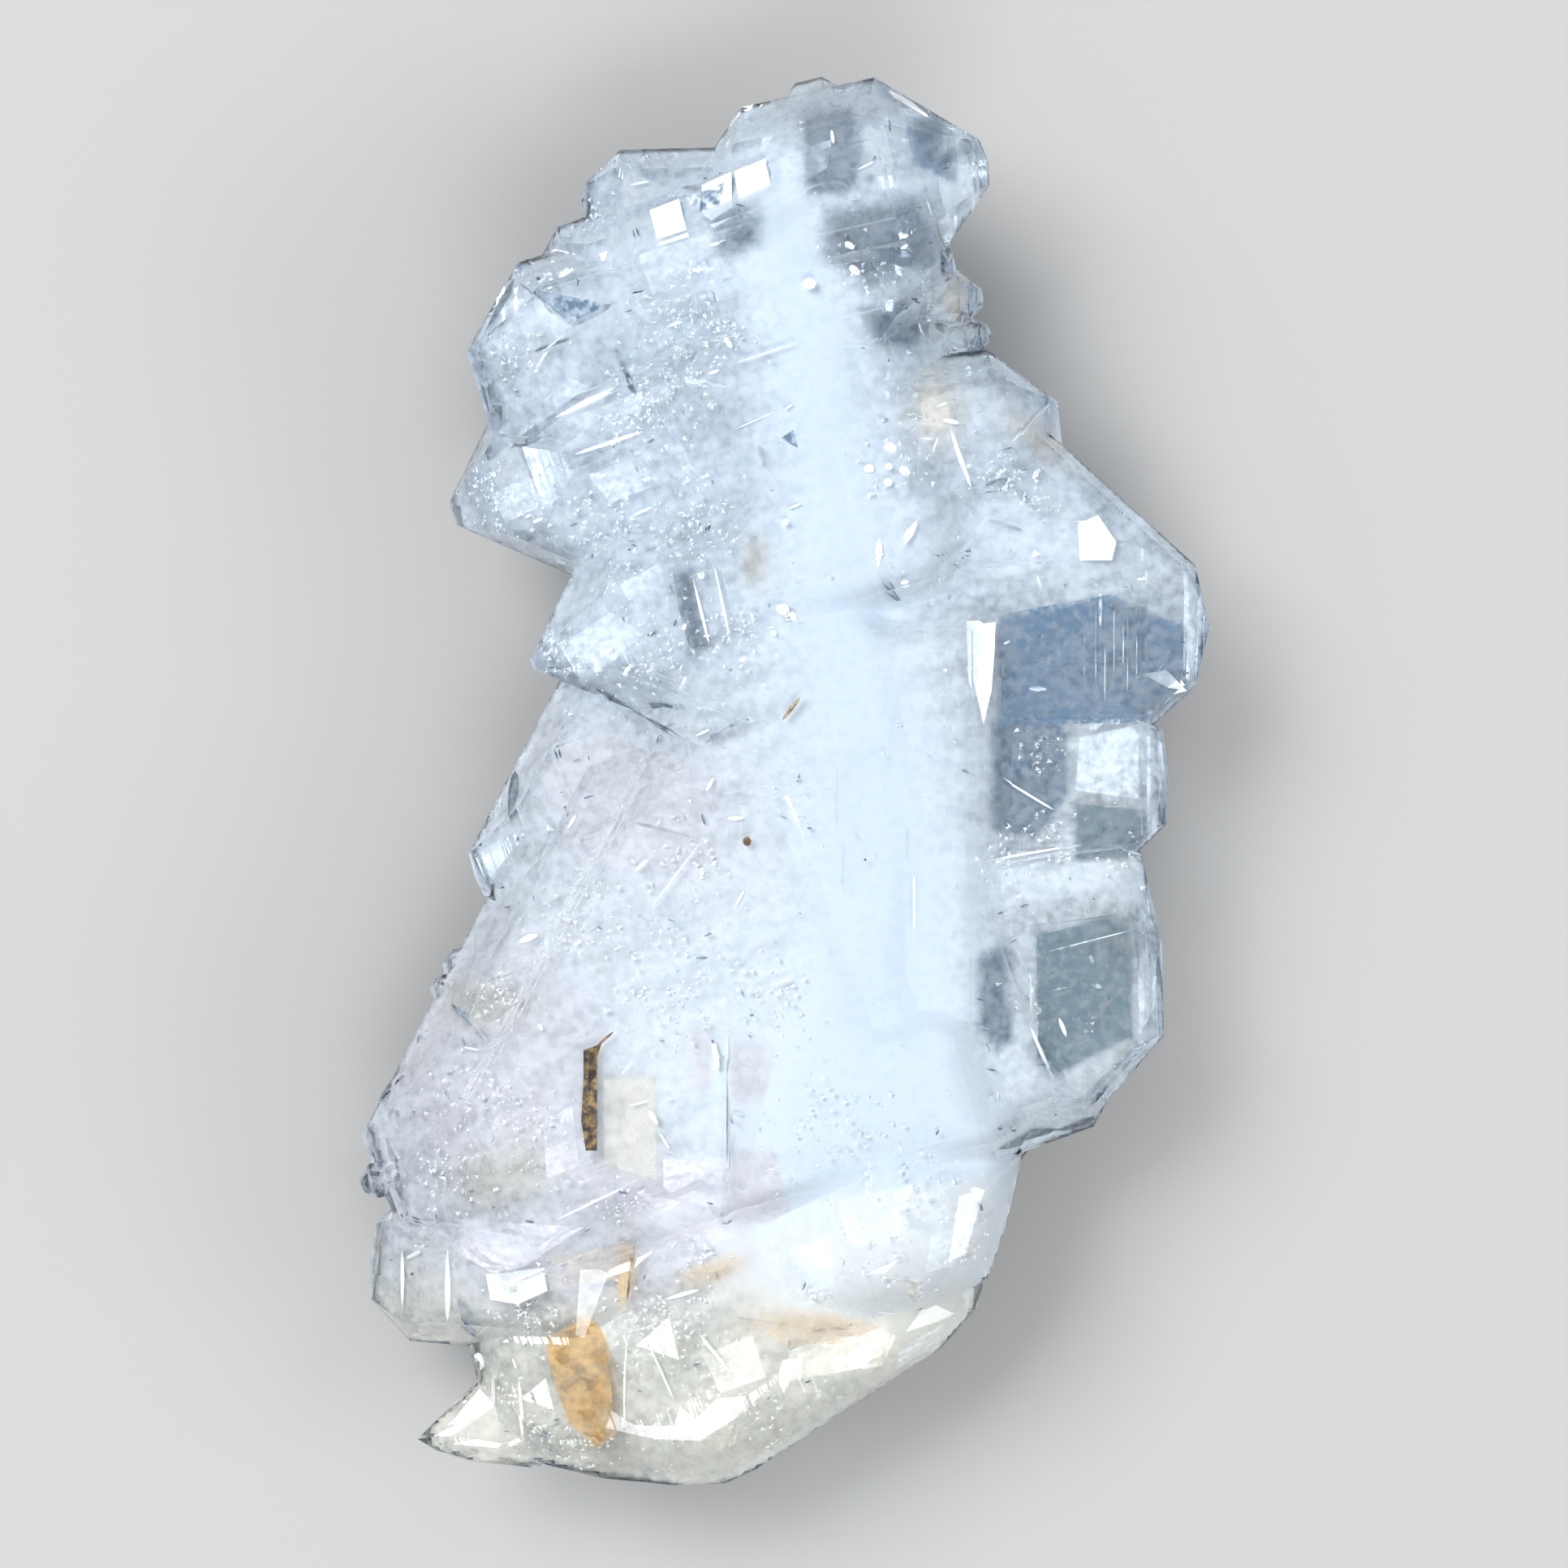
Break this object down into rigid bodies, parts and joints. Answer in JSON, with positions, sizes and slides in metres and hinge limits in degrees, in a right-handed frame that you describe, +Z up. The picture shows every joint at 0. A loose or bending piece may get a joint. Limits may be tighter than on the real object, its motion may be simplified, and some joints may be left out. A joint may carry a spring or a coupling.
{
  "type": "faden quartz cluster",
  "caption": "Flat cluster of clear, doubly pointed quartz crystals grown side by side along a white thread, broken at one end.",
  "frame": {"origin": "on the table, under the middle of the cluster's outline", "axes": "+X to the right, +Y up the thread from the broken foot to the top crystal, +Z up from the table, out of the broad faces that the picture shows"},
  "size_m": [0.0374, 0.0622, 0.012],
  "materials": {
    "quartz": "clear and glassy, with a milky white thread and veils inside, and a yellowish foot with a rust stain"
  },
  "bodies": {
    "root": {"faden_quartz_cluster": "quartz"}
  },
  "joints": []
}
